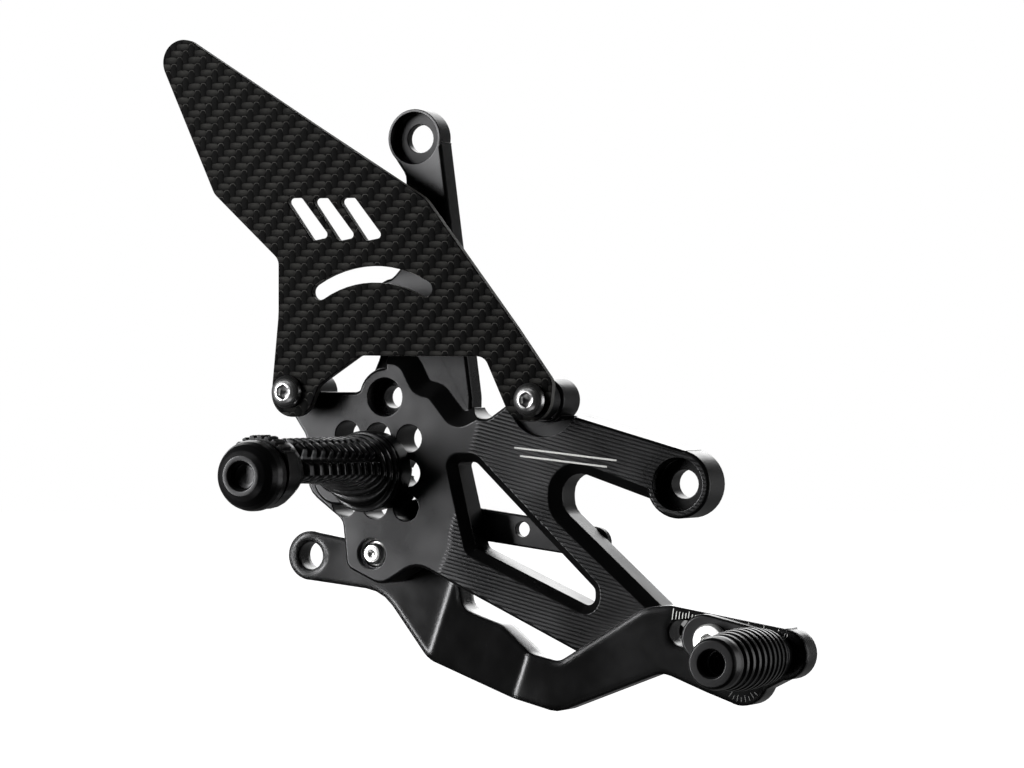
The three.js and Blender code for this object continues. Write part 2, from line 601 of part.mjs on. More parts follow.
function toePeg() {
  const rings = 9;
  const rows = [[0, TOE_BASE], [7.6, TOE_BASE]];
  const first = TOE_BASE - 2.2;
  const last = TOE_TIP + 6;
  for (let n = 0; n < rings; n += 1) {
    const pitch = (last - first) / rings;
    for (const [part, cut] of [[0.06, 0], [0.56, 0], [0.66, 1.4], [0.96, 1.4]]) {
      const t = (n + part) / rings;
      const r = 8.3 + 1.1 * Math.sin(Math.PI * t) - 0.3 * t;
      rows.push([r - cut, first + pitch * (n + part)]);
    }
  }
  rows.push([8, last], [7.8, TOE_TIP + 1], [6.8, TOE_TIP], [4.2, TOE_TIP], [3.9, TOE_TIP + 0.5]);
  rows.push([3.9, TOE_TIP + 8], [0, TOE_TIP + 8]);
  const peg = turnedAt(TOE.x, TOE.z, rows, 24);
  return drill(peg, TOE.x, TOE.z, 6.6, 0, TOE_TIP + 12.3, 24)
    .subtract(cylinderAt(TOE.x, TOE.z, 6.6, TOE_BASE + 1, TOE_TIP + 7, 24));
}

function toePegScrew() {
  const end = LEVER_FRONT_PLANE - 2 * GAP;
  const head = TOE_TIP + 7.6;
  const screw = cylinderAt(TOE.x, TOE.z, 6, end, head, 24);
  return screw.subtract(cylinderAt(TOE.x, TOE.z, 4.6, head + 2.5, head - 5, 6));
}

// ---------------------------------------------------------------- assembly
const m6 = { head: 10.5, height: 3.3, shank: 6, socket: 4 };
const guardFront = GUARD_BACK - GUARD_THICK - GAP;
const leverBack = LEVER_BACK_PLANE + LEVER_THICK;

add('bracket', bracket(), anodised());
add('heel_guard', heelGuard(), carbon());
add('guard_spacer_rear', guardSpacer(REAR_GUARD, -BODY_THICK - GAP), blackSteel());
add('guard_spacer_front', guardSpacer(FRONT_GUARD, -BODY_THICK - GAP), blackSteel());
add('guard_screw_rear', buttonScrew(REAR_GUARD, guardFront, -3, m6), steel());
add('guard_screw_front', buttonScrew(FRONT_GUARD, guardFront, -3, m6), steel());
add('peg_adapter', pegAdapter(), anodised());
add('adapter_screw', adapterScrew(), steel());
add('foot_peg', footPeg(), anodised());
add('peg_screw', pegScrew(), blackSteel());
add('peg_collar', pegCollar(), anodised());
add('peg_end_cap', pegCap(), anodised());
add('brake_lever', brakeLever(), anodised());
add('pivot_bush', washer(PIVOT.x, PIVOT.z, 8.6, 12, leverBack + 0.6, LEVER_BACK_PLANE - 0.2), bronze());
add('pivot_washer', washer(PIVOT.x, PIVOT.z, 8.6, 13.6, leverBack + 1.4, leverBack + 0.8), steel());
add('pivot_bolt', pivotBolt(), steel());
const barPlate = drill(plate(obround(BAR, BAR.r), BAR.back, GAP, 0.5), ...BAR.hole, 20, -20, 20);
add('switch_bar', drill(barPlate, BAR_SCREW.x, BAR_SCREW.z, 4.8, 20, -20, 20), anodised());
const barScrew = [[0, -7], [2, -7], [2, BAR.back + GAP], [3.8, BAR.back + GAP], [3.8, BAR.back + 1.4],
  [2.4, BAR.back + 2.6], [0, BAR.back + 2.6]];
const barSocket = cylinderAt(BAR_SCREW.x, BAR_SCREW.z, 2.9, 20, BAR.back + 1.2, 6);
add('switch_bar_screw', turnedAt(BAR_SCREW.x, BAR_SCREW.z, barScrew, 24).subtract(barSocket), blackSteel());
add('toe_carrier', toeCarrier(), anodised());
const clampSeat = LEVER_FRONT_PLANE - CARRIER_THICK - 2 * GAP;
add('toe_clamp_screw', buttonScrew(CLAMP, clampSeat, -13.7, m6), steel());
const nutBack = -13.3;
const nut = plate(obround({ x0: CLAMP.x - 3, z0: CLAMP.z + 0.45, x1: CLAMP.x + 3, z1: CLAMP.z - 0.45 }, 6),
  nutBack, LEVER_FRONT_PLANE + LEVER_THICK + GAP);
add('toe_slot_nut', drill(nut, CLAMP.x, CLAMP.z, 6.6, 0, -RUN_OUT, 24), steel());
add('toe_peg', toePeg(), anodised());
add('toe_peg_screw', toePegScrew(), blackSteel());

export default group;
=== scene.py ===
import math

import bmesh
import bpy
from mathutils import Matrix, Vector


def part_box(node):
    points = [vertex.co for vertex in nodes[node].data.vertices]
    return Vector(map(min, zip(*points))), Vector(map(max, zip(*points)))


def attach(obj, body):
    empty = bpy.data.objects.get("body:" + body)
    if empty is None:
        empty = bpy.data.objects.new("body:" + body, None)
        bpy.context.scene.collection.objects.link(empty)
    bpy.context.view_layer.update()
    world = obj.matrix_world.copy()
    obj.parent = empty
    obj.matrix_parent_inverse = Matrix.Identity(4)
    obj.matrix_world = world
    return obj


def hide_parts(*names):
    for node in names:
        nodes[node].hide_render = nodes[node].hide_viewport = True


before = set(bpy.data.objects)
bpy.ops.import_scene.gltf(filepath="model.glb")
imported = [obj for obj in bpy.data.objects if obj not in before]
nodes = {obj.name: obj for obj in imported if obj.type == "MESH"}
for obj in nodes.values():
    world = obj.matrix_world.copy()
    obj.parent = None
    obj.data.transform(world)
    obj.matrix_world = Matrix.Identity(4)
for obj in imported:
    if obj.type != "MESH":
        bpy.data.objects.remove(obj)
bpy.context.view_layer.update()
MM = 0.001

# places in mm: (x, z) of the axes that run along Y
AXIS = (0.0, 0.5)                  # foot peg
PIVOT = (-1.8, -25.8)              # brake lever
TOE = (139.2, -53.7)               # toe peg
CLAMP = (121.5, -49.6)             # clamp screw of the toe carrier
REAR_GUARD = (-26.7, 25.5)
FRONT_GUARD = (58.1, 23.1)
UPPER_HOLE = (10.8, 106.0)
FRONT_HOLE = (103.4, -2.8)

BASE, NECK = -21.3, -77.0          # Y of the grip's two ends
RIBS = 13
BRACKET_FRONT = -13.0              # Y of the bracket's outboard face
BLADE_FRONT = -25.0                # Y of the toe blade's outboard face

EDGE_SAMPLES, SOFTEN_SAMPLES = 4, 8


# ---------------------------------------------------------------- node maths
class Val:
    """A value in a shader tree. Ordinary arithmetic on it adds Math nodes."""

    def __init__(self, tree, socket):
        self.tree, self.socket = tree, socket

    def _math(self, operation, *others):
        node = self.tree.nodes.new("ShaderNodeMath")
        node.operation = operation
        for slot, value in zip(node.inputs, (self, *others)):
            if isinstance(value, Val):
                self.tree.links.new(value.socket, slot)
            else:
                slot.default_value = value
        return Val(self.tree, node.outputs[0])

    def __add__(self, other):
        return self._math("ADD", other)

    def __sub__(self, other):
        return self._math("SUBTRACT", other)

    def __mul__(self, other):
        return self._math("MULTIPLY", other)

    def __truediv__(self, other):
        return self._math("DIVIDE", other)

    def __pow__(self, other):
        return self._math("POWER", other)

    def mod(self, other):
        return self._math("FLOORED_MODULO", other)

    def below(self, other):
        return self._math("LESS_THAN", other)

    def above(self, other):
        return self._math("GREATER_THAN", other)

    def floor(self):
        return self._math("FLOOR")

    def fract(self):
        return self._math("FRACT")

    def abs(self):
        return self._math("ABSOLUTE")

    def sqrt(self):
        return self._math("SQRT")

    def max(self, other):
        return self._math("MAXIMUM", other)

    def min(self, other):
        return self._math("MINIMUM", other)

    def ramp(self, a, b, low=0.0, high=1.0):
        node = self.tree.nodes.new("ShaderNodeMapRange")
        node.interpolation_type = "SMOOTHSTEP"
        self.tree.links.new(self.socket, node.inputs["Value"])
        node.inputs["From Min"].default_value = a
        node.inputs["From Max"].default_value = b
        node.inputs["To Min"].default_value = low
        node.inputs["To Max"].default_value = high
        return Val(self.tree, node.outputs[0])

    def mix(self, a, b):
        """a where this is 0, b where it is 1."""
        span = a * -1 + b if isinstance(a, Val) else b - a
        return (self * span) + a


class Paint:
    """One material: its tree, its coordinates and its shader."""

    def __init__(self, name):
        self.material = bpy.data.materials.new(name)
        self.material.use_nodes = True
        self.tree = self.material.node_tree
        self.tree.nodes.clear()
        self.out = self.tree.nodes.new("ShaderNodeOutputMaterial")
        self.shader = self.tree.nodes.new("ShaderNodeBsdfPrincipled")
        self.tree.links.new(self.shader.outputs[0], self.out.inputs[0])
        self.place = self.tree.nodes.new("ShaderNodeTexCoord").outputs["Object"]
        split = self.tree.nodes.new("ShaderNodeSeparateXYZ")
        self.tree.links.new(self.place, split.inputs[0])
        self.x, self.y, self.z = (Val(self.tree, s) * 1000 for s in split.outputs)
        self.geometry = self.tree.nodes.new("ShaderNodeNewGeometry")
        facing = self.tree.nodes.new("ShaderNodeSeparateXYZ")
        self.tree.links.new(self.geometry.outputs["True Normal"], facing.inputs[0])
        self.nx, self.ny, self.nz = (Val(self.tree, s) for s in facing.outputs)

    def vector(self, x, y, z):
        node = self.tree.nodes.new("ShaderNodeCombineXYZ")
        for slot, value in zip(node.inputs, (x, y, z)):
            if isinstance(value, Val):
                self.tree.links.new(value.socket, slot)
            else:
                slot.default_value = value
        return node.outputs[0]

    def noise(self, scale, detail=3.0, vector=None, roughness=0.5):
        """Noise with `scale` features per millimetre."""
        node = self.tree.nodes.new("ShaderNodeTexNoise")
        node.inputs["Scale"].default_value = scale
        node.inputs["Detail"].default_value = detail
        node.inputs["Roughness"].default_value = roughness
        where = self.vector(self.x, self.y, self.z) if vector is None else vector
        self.tree.links.new(where, node.inputs["Vector"])
        return Val(self.tree, node.outputs[0])

    def edge(self, radius_mm):
        """0 on flat faces, rising to 1 on sharp edges."""
        bevel = self.tree.nodes.new("ShaderNodeBevel")
        bevel.samples = EDGE_SAMPLES
        bevel.inputs["Radius"].default_value = radius_mm * MM
        dot = self.tree.nodes.new("ShaderNodeVectorMath")
        dot.operation = "DOT_PRODUCT"
        self.tree.links.new(bevel.outputs[0], dot.inputs[0])
        self.tree.links.new(self.geometry.outputs["True Normal"], dot.inputs[1])
        return (Val(self.tree, dot.outputs["Value"]) * -1 + 1).ramp(0.01, 0.2)

    def colour(self, amount, dark, light):
        node = self.tree.nodes.new("ShaderNodeMix")
        node.data_type = "RGBA"
        self.tree.links.new(amount.socket, node.inputs["Factor"])
        node.inputs["A"].default_value = (*dark, 1)
        node.inputs["B"].default_value = (*light, 1)
        return node.outputs["Result"]

    def set(self, name, value):
        slot = self.shader.inputs[name]
        if isinstance(value, Val):
            self.tree.links.new(value.socket, slot)
        elif isinstance(value, bpy.types.NodeSocket):
            self.tree.links.new(value, slot)
        else:
            slot.default_value = value

    def bump(self, height_mm, soften_mm=0.0):
        """Relief, on normals eased round the edges over soften_mm."""
        node = self.tree.nodes.new("ShaderNodeBump")
        if soften_mm:
            bevel = self.tree.nodes.new("ShaderNodeBevel")
            bevel.samples = SOFTEN_SAMPLES
            bevel.inputs["Radius"].default_value = soften_mm * MM
            self.tree.links.new(bevel.outputs[0], node.inputs["Normal"])
        node.inputs["Strength"].default_value = 1.0
        node.inputs["Distance"].default_value = MM
        self.tree.links.new(height_mm.socket, node.inputs["Height"])
        self.tree.links.new(node.outputs[0], self.shader.inputs["Normal"])


# ---------------------------------------------------------------- materials
def anodised(name, marks=None, tone=1.0, rough=0.36, wear=1.0, painted_light=None, soften=0.0):
    """Black anodised aluminium.

    marks(paint) is the height of the tool marks in mm, and the painted-light function of paint scales the
    tone with painted shade and painted highlights.
    """
    p = Paint(name)
    cloud = p.noise(0.05, 3)
    grain = p.noise(5.0, 2)
    scratch = p.noise(1.0, 3, p.vector(p.x * 0.25, p.y * 3.0, p.z * 4.0)).ramp(0.62, 0.8)
    # paler edges: partly edge wear, partly a painted edge highlight; wear scales them
    pale_edges = p.edge(0.35) * p.noise(0.5, 4).ramp(0.25, 0.75, 0.35, 1.0)
    mixed = pale_edges * wear + cloud * 0.16 + scratch * 0.10 + 0.05
    # painted shade and painted light scale the tone here
    if painted_light:
        mixed = mixed * painted_light(p)
    mixed = mixed.min(1.0)
    dark = tuple(c * tone for c in (0.011, 0.011, 0.0115))
    light = tuple(c * tone ** 0.5 for c in (0.150, 0.150, 0.153))
    p.set("Base Color", p.colour(mixed, dark, light))
    p.set("Metallic", 0.85)
    p.set("Roughness", cloud.ramp(0.3, 0.7, rough - 0.04, rough + 0.05) + grain * 0.05 + pale_edges * -0.08)
    height = grain * 0.004 + scratch * -0.0015
    if marks:
        height = height + marks(p)
    p.bump(height, soften)
    return p.material


def scallops(p):
    """Ball-nosed cutter passes on the front part of the bracket's outboard face."""
    tilt = math.radians(14)
    pass_width, wall_step = 1.18, 1.1
    along = p.x * math.sin(tilt) + p.z * math.cos(tilt)
    lane = ((along / pass_width).fract() * 2 - 1)
    outboard = p.ny.below(-0.98)
    drift = p.noise(0.06, 2) * 6
    zone = (p.x + drift - p.z * 0.28).ramp(33.5, 35.5)
    deep = outboard * zone * p.y.below(-11)
    walls = outboard * -1 + 1
    side = ((p.y / wall_step).fract() * 2 - 1)
    return lane * lane * deep * 0.13 + side * side * walls * 0.006


def bore(p, x, z, r, front):
    """1 inside a bore deeper than the face at Y = front mm."""
    dx, dz = p.x - x, p.z - z
    return (dx * dx + dz * dz).below(r * r) * p.y.above(front)


def bracket_painted_light(p):
    """Painted shade and painted light: the counterbores and the seat round the foot peg are painted darker
    as shade, and the upper arm's outboard face is painted paler as a highlight.
    """
    counterbore, any_depth, grid = 8.3, -20, 18.0
    upper = bore(p, *UPPER_HOLE, counterbore, any_depth)
    front = bore(p, *FRONT_HOLE, counterbore, any_depth)
    # painted shade: darker in the counterbores and round the foot peg's seat
    deep = upper.max(front).max(bore(p, *AXIS, grid, BRACKET_FRONT + 0.6))
    # painted highlight: the outboard face of the upper arm is made paler
    arm = p.ny.below(-0.9) * p.z.ramp(28, 60) * p.x.below(26)
    return (deep * -0.75 + 1) * (arm * 0.9 + 1)


def rib_edge_highlights(p):
    """Painted highlight lines along the outboard edges of the grip's ribs, broken up by noise."""
    part = ((p.y * -1 + (BASE - 0.05)) * (RIBS / (BASE - NECK))).fract()
    highlight_break = p.noise(0.8, 2).ramp(0.3, 0.7, 0.4, 1.0)
    return part.ramp(0.30, 0.42) * part.ramp(0.52, 0.44) * highlight_break * 9 + 1


def milled_sides(p):
    walls = p.ny.abs().below(0.6)
    side = ((p.y / 1.2).fract() * 2 - 1)
    return side * side * walls * 0.006


def lathe_marks(cx, cz):
    def marks(p):
        x, z = p.x - cx, p.z - cz
        r = (x * x + z * z).sqrt()
        ring = p.noise(1.0, 3, p.vector(r * 7.0, p.y * 7.0, 0.0))
        return ring * 0.006
    return marks


def carbon_twill():
    p = Paint("carbon_twill")
    pitch = 2.15
    wander = p.noise(0.09, 2, p.vector(p.x, 0.0, p.z)) * 0.35
    u = p.x / pitch + wander
    v = p.z / pitch + wander * 0.8
    i, j = u.floor(), v.floor()
    warp_top = (i - j).mod(4).below(2)
    # warp runs along Z, weft along X; each floats over two tows
    warp_along = (v - i + 1).mod(4) - 1
    weft_along = (u - j - 2).mod(4) - 1
    across_warp = (u.fract() - 0.5) * 2
    across_weft = (v.fract() - 0.5) * 2
    along = warp_top.mix(weft_along, warp_along)
    across = warp_top.mix(across_weft, across_warp)
    # a float is a rounded pill; outside it lies the dark gap between tows
    pill = across.abs() ** 2.6 + along.abs() ** 5.0
    inside = pill.ramp(1.12, 0.86)
    height = (pill * -0.5 + 1).max(0.0) * inside
    warp_fibre = p.noise(1.0, 3, p.vector(p.x * 9.0, 0.0, p.z * 0.5))
    weft_fibre = p.noise(1.0, 3, p.vector(p.x * 0.5, 0.0, p.z * 9.0))
    fibre = warp_top.mix(weft_fibre, warp_fibre)
    tow = p.noise(1.0, 1, p.vector(warp_top.mix(3.1, i), warp_top.mix(j, 7.7), 0.0))
    # warp floats are painted dark with a painted highlight crescent at their upper end; weft floats are
    # painted paler as painted sheen, with painted shade towards their lower side and their left end
    crescent_highlight = along.ramp(0.40, 0.82) * pill.ramp(0.50, 0.90)
    warp_tone = crescent_highlight * 0.95 + 0.01
    weft_tone = across.ramp(-0.9, 0.7, 0.08, 0.40) * along.ramp(-1.0, 0.1, 0.30, 1.0)
    face = p.ny.abs().above(0.7)
    streaks = fibre.ramp(0.3, 0.7, 0.60, 1.35) * tow.ramp(0.3, 0.7, 0.75, 1.2)
    shade = (warp_top.mix(weft_tone, warp_tone) * streaks * inside).min(1.0)
    # the sawn edge shows the plies as thin layers, and is painted paler as painted light on the edge faces
    ply = p.noise(1.0, 3, p.vector(p.x * 0.8, p.y * 7.0, p.z * 0.8)).ramp(0.3, 0.7)
    ply_and_lit_edge_tone = ply * 0.4 + 0.6
    value = face.mix(ply_and_lit_edge_tone, shade * 0.34)
    p.set("Base Color", p.colour(value, (0.0006, 0.0006, 0.0006), (0.130, 0.127, 0.119)))
    p.set("Roughness", face.mix(0.62, fibre.ramp(0.2, 0.8, 0.42, 0.52)))
    p.set("Specular IOR Level", face.mix(0.4, 0.012))
    p.bump((height * 0.10 + fibre * 0.008) * face + ply * 0.02 * (face * -1 + 1))
    return p.material


def polished_steel(name, cx, cz, tint=(0.62, 0.62, 0.61), rough=0.2):
    p = Paint(name)
    x, z = p.x - cx, p.z - cz
    r = (x * x + z * z).sqrt()
    ring = p.noise(1.0, 3, p.vector(r * 9.0, p.y * 9.0, 0.0))
    stain = p.noise(0.35, 3)
    wear = p.edge(0.2)
    dark = tuple(c * 0.55 for c in tint)
    p.set("Base Color", p.colour((stain.ramp(0.35, 0.7) * 0.6 + wear * 0.4).min(1.0), tint, dark))
    p.set("Metallic", 1.0)
    p.set("Roughness", ring.ramp(0.3, 0.7, rough - 0.06, rough + 0.10))
    p.bump(ring * 0.003 + p.noise(4.0, 2) * 0.002)
    return p.material


def black_steel():
    p = Paint("black_oxide_steel")
    speck = p.noise(2.5, 4)
    pale_edges = p.edge(0.3)
    p.set("Base Color", p.colour((pale_edges * 0.7 + speck.ramp(0.55, 0.8) * 0.25).min(1.0),
                                 (0.012, 0.012, 0.013), (0.11, 0.11, 0.11)))
    p.set("Metallic", 0.8)
    p.set("Roughness", speck.ramp(0.3, 0.7, 0.34, 0.5))
    p.bump(speck * 0.006)
    return p.material


def bronze():
    p = Paint("sintered_bronze")
    pore = p.noise(3.0, 4)
    p.set("Base Color", p.colour(pore.ramp(0.35, 0.65), (0.30, 0.17, 0.06), (0.50, 0.32, 0.14)))
    p.set("Metallic", 1.0)
    p.set("Roughness", pore.ramp(0.3, 0.7, 0.28, 0.45))
    p.bump(pore * 0.01)
    return p.material


def laser_mark(name, strength):
    p = Paint(name)
    speck = p.noise(6.0, 3)
    p.set("Base Color", p.colour(speck.ramp(0.3, 0.7), tuple(c * strength for c in (0.36, 0.36, 0.35)),
                                 tuple(c * strength for c in (0.62, 0.62, 0.60))))
    p.set("Roughness", speck.ramp(0.3, 0.7, 0.55, 0.75))
    p.bump(speck * 0.004)
    return p.material


def studio_white():
    p = Paint("studio_floor")
    speck = p.noise(0.02, 3)
    p.set("Base Color", p.colour(speck, (0.90, 0.90, 0.90), (0.94, 0.94, 0.94)))
    p.set("Roughness", 0.9)
    p.set("Emission Color", (1, 1, 1, 1))
    p.set("Emission Strength", 1.1)
    return p.material


# ---------------------------------------------------------------- mesh helpers
def smooth(points, step_degrees=20):
    """A polyline of (r, y, radius) whose corners are rounded by arcs."""
    made = []
    for n, (r, y, radius) in enumerate(points):
        here = Vector((r, y))
        if radius <= 0 or n in (0, len(points) - 1):
            made.append(here)
            continue
        before = Vector(points[n - 1][:2]) - here
        after = Vector(points[n + 1][:2]) - here
        a, b = before.normalized(), after.normalized()
        half = math.acos(max(-1, min(1, a.dot(b)))) / 2
        if half < 1e-3 or half > math.pi / 2 - 1e-3:
            made.append(here)
            continue
        reach = min(radius / math.tan(half), before.length * 0.49, after.length * 0.49)
        arc = reach * math.tan(half)
        middle = here + (a + b).normalized() * (arc / math.sin(half))
        start, end = here + a * reach - middle, here + b * reach - middle
        turn = start.angle_signed(end)
        steps = max(2, round(abs(math.degrees(turn)) / step_degrees))
        for k in range(steps + 1):
            angle = -turn * k / steps
            c, s = math.cos(angle), math.sin(angle)
            made.append(middle + Vector((start.x * c - start.y * s, start.x * s + start.y * c)))
    return made


def piece(name, rows, material, body, stands_for=(), through=False):
    """A closed skin through rings of points in mm; ends fanned shut, or joined when a bore runs through."""
    mesh = bmesh.new()
    rings = [[mesh.verts.new(Vector(c) * MM) for c in row] for row in rows]
    count = len(rows[0])
    for low, high in zip(rings, rings[1:] + rings[:1] if through else rings[1:]):
        for k in range(count):
            mesh.faces.new((low[k], low[(k + 1) % count], high[(k + 1) % count], high[k]))
    for ring in () if through else (rings[0], rings[-1]):
        hub = mesh.verts.new(sum((v.co for v in ring), Vector()) / count)
        for k in range(count):
            mesh.faces.new((ring[k], ring[(k + 1) % count], hub))
    bmesh.ops.remove_doubles(mesh, verts=mesh.verts, dist=1e-7)
    bmesh.ops.recalc_face_normals(mesh, faces=mesh.faces)
    for face in mesh.faces:
        face.smooth = True
    data = bpy.data.meshes.new(name)
    mesh.to_mesh(data)
    mesh.free()
    data.materials.append(material)
    made = bpy.data.objects.new(name, data)
    bpy.context.scene.collection.objects.link(made)
    weigh(made)
    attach(made, body)
    if stands_for:
        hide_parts(*stands_for)
    return made


def weigh(made):
    m = made.modifiers.new("weighted", "WEIGHTED_NORMAL")
    m.mode = "FACE_AREA"
    m.weight = 50
    m.keep_sharp = True


def ring(x, z, r, y, count, hexed=0.0):
    """Points of one ring about an axis along Y. hexed blends the circle into a hexagon."""
    points = []
    for k in range(count):
        angle = 2 * math.pi * k / count
        fold = (math.degrees(angle) + 30) % 60 - 30
        six = r / math.cos(math.radians(fold))
        reach = r + (six - r) * hexed
        points.append((x + reach * math.cos(angle), y, z + reach * math.sin(angle)))
    return points


def turned(name, x, z, outline, material, body, slot=None, stands_for=(), count=96, socket=None):
    """A lathe piece through outline [(r, y, corner radius)].

    socket = (flats, depth, rim) sinks a hexagon at the outline's end, inside a rim of that radius.
    """
    rows = [ring(x, z, max(p.x, 0.001), p.y, count) for p in smooth(outline)]
    if socket:
        flats, depth, rim = socket
        front = outline[-1][1]
        inward = 1 if outline[-1][1] < outline[0][1] else -1
        a = flats / 2
        for r, y, six in ((rim, front, 0.0), (a + 0.22, front, 1.0), (a + 0.07, front + inward * 0.06, 1.0),
                          (a, front + inward * 0.2, 1.0), (a, front + inward * (depth - 0.1), 1.0),
                          (a - 0.12, front + inward * depth, 1.0), (a * 0.55, front + inward * depth, 0.0),
                          (0.2, front + inward * (depth + a * 0.4), 0.0)):
            rows.append(ring(x, z, r, y, count, six))
    return piece(name, rows, material, body, stands_for)


def dress(name, material, bevel=0.25, segments=3, angle=28):
    """Rounds a CAD node's edges by modifiers and gives it its material."""
    o = nodes[name]
    data = o.data
    if "custom_normal" in data.attributes:
        data.attributes.remove(data.attributes["custom_normal"])
    data.polygons.foreach_set("use_smooth", [True] * len(data.polygons))
    data.materials.clear()
    data.materials.append(material)
    weld = o.modifiers.new("weld", "WELD")
    weld.merge_threshold = 2e-6
    flat = o.modifiers.new("planar", "DECIMATE")
    flat.decimate_type = "DISSOLVE"
    flat.angle_limit = math.radians(0.6)
    round_ = o.modifiers.new("round", "BEVEL")
    round_.width = bevel * MM
    round_.segments = segments
    round_.limit_method = "ANGLE"
    round_.angle_limit = math.radians(angle)
    round_.use_clamp_overlap = False
    round_.miter_outer = "MITER_ARC"
    round_.loop_slide = True
    weigh(o)
    return o


# ---------------------------------------------------------------- finishes
plain_black = anodised("black_anodised", milled_sides, tone=0.6, rough=0.32)
# the bracket's tone carries painted shade in its bores and a painted highlight on the upper arm
bracket_black = anodised("black_anodised_scalloped", scallops, tone=0.6, rough=0.28, painted_light=bracket_painted_light)
lever_black = anodised("black_anodised_lever", milled_sides, tone=0.32, rough=0.2, soften=3.2)
dark_steel = black_steel()
twill = carbon_twill()

dress("bracket", bracket_black, 0.3, 3)
dress("heel_guard", twill, 0.35, 3)
dress("brake_lever", lever_black, 0.35, 3)
dress("peg_adapter", plain_black, 0.3, 3)
dress("switch_bar", plain_black, 0.25, 3)
dress("toe_carrier", plain_black, 0.25, 3)
collar_black = anodised("black_anodised_collar", lathe_marks(*AXIS), tone=0.5, rough=0.28)
dress("peg_collar", collar_black, 0.22, 2)
dress("guard_spacer_rear", dark_steel, 0.25, 3)
dress("guard_spacer_front", dark_steel, 0.25, 3)
dress("peg_screw", dark_steel, 0.25, 3)
dress("switch_bar_screw", dark_steel, 0.15, 2)
dress("toe_peg_screw", dark_steel, 0.15, 2)
dress("pivot_bush", bronze(), 0.15, 2)
dress("pivot_washer", polished_steel("steel_washer", *PIVOT, rough=0.3), 0.12, 2)
dress("toe_slot_nut", polished_steel("steel_nut", *CLAMP, rough=0.35), 0.25, 2)


# ---------------------------------------------------------------- foot peg
def bell(value, centre, half):
    d = abs(value - centre) / half
    return 0.0 if d >= 1 else (1 - d * d) ** 2


def ease(value, a, b):
    t = max(0.0, min(1.0, (value - a) / (b - a)))
    return t * t * (3 - 2 * t)


def rib_cut(part):
    """Depth of the groove between ribs over one pitch, 0 on the crest."""
    down = ease(part, 0.44, 0.56)
    up = ease(part, 0.90, 1.0)
    crest = 0.12 * ((min(part, 0.44) - 0.22) / 0.22) ** 2 if part < 0.44 else 0.12
    return crest + 1.6 * (down - up)


def angular_cut(degrees, t):
    """Lengthwise grooves: a wide smooth one on each flank and narrow ones over the crown."""
    share = ease(t, 0.215, 0.235)
    half, lean = 8 + 9 * t * t, 24 + 7 * t * t
    wide = 2.0 * max(bell(degrees, lean, half), bell(degrees, 180 - lean, half))
    narrow = 1.7 * max(bell(degrees, a, 4.2) for a in (64, 90, 116))
    return max(wide, narrow) * share


def grip_rows(count=288):
    rows = []

    def at(y, half, top, bottom, t=None, part=None):
        row = []
        for k in range(count):
            degrees = 360 * k / count
            a = math.radians(degrees)
            cut = 0.0
            if t is not None:
                cut = max(rib_cut(part), angular_cut(degrees, t))
            reach = (top if math.sin(a) > 0 else bottom) - cut
            row.append(((half - cut) * math.cos(a), y, AXIS[1] + reach * math.sin(a)))
        rows.append(row)

    for r, y in ((4.3, -34), (4.3, -28), (4.3, BASE - 0.4), (4.7, BASE)):
        rows.append(ring(*AXIS, r, y, count))
    at(BASE, 12.1, 12.8, 12.8)
    steps = [0.0, 0.05, 0.12, 0.22, 0.32, 0.40, 0.44, 0.47, 0.50, 0.53, 0.56, 0.65, 0.78, 0.90, 0.93, 0.965]
    for n in range(RIBS):
        for part in steps:
            t = (n + part) / RIBS
            half = 12.3 - 4.7 * t ** 5
            top = 11.1 + 1.9 * (1 - t) ** 8
            bottom = min(12.8, 2.9 + 4.2 * (1 - t) ** 2.5 + 8.5 * (1 - t) ** 8)
            at(BASE - 0.05 + (NECK - BASE) * t, half, top, bottom, t, part)
    for y, half, top, bottom in ((-77.4, 7.7, 10.3, 3.2), (-78.4, 8.2, 10.6, 4.0), (-79.4, 8.7, 10.9, 5.1),
                                 (-80.4, 9.1, 11.0, 6.2), (-81.6, 9.4, 11.1, 7.6), (-83, 9.6, 11.2, 8.6),
                                 (-84.6, 9.7, 11.25, 9.1), (-86.0, 9.8, 11.3, 9.3), (-86.3, 9.5, 11.0, 9.0)):
        at(y, half, top, bottom)
    rows.append(ring(*AXIS, 5.4, -86.3, count))
    rows.append(ring(*AXIS, 5.2, -86.5, count))
    rows.append(ring(*AXIS, 5.2, -97.6, count))
    rows.append(ring(*AXIS, 4.8, -98.0, count))
    return rows


# the grip's tone carries painted highlight lines along its rib edges
grip_black = anodised("black_anodised_grip", lathe_marks(*AXIS), tone=0.45, rough=0.24, painted_light=rib_edge_highlights)
piece("foot_peg_grip", grip_rows(), grip_black, "chassis", ("foot_peg",))

dome_black = anodised("black_anodised_dome", lathe_marks(*AXIS), tone=0.5, rough=0.31)
turned("peg_end_dome", *AXIS, [
    (0.0, -98.3, 0), (5.5, -98.3, 0.2), (5.5, -93.2, 0.2), (10.2, -93.0, 0.4), (10.7, -94.0, 0.8),
    (10.7, -96.4, 2.0), (10.3, -98.4, 2.0), (9.3, -100.6, 2.0), (7.7, -102.4, 2.0), (6.0, -103.4, 0.6),
    (4.6, -103.4, 0.4),
    (3.95, -102.2, 0.4), (3.9, -99.2, 0.3), (2.4, -98.9, 0.2), (0.0, -98.75, 0)],
    dome_black, "chassis", "anodised_black", ("peg_end_cap",))


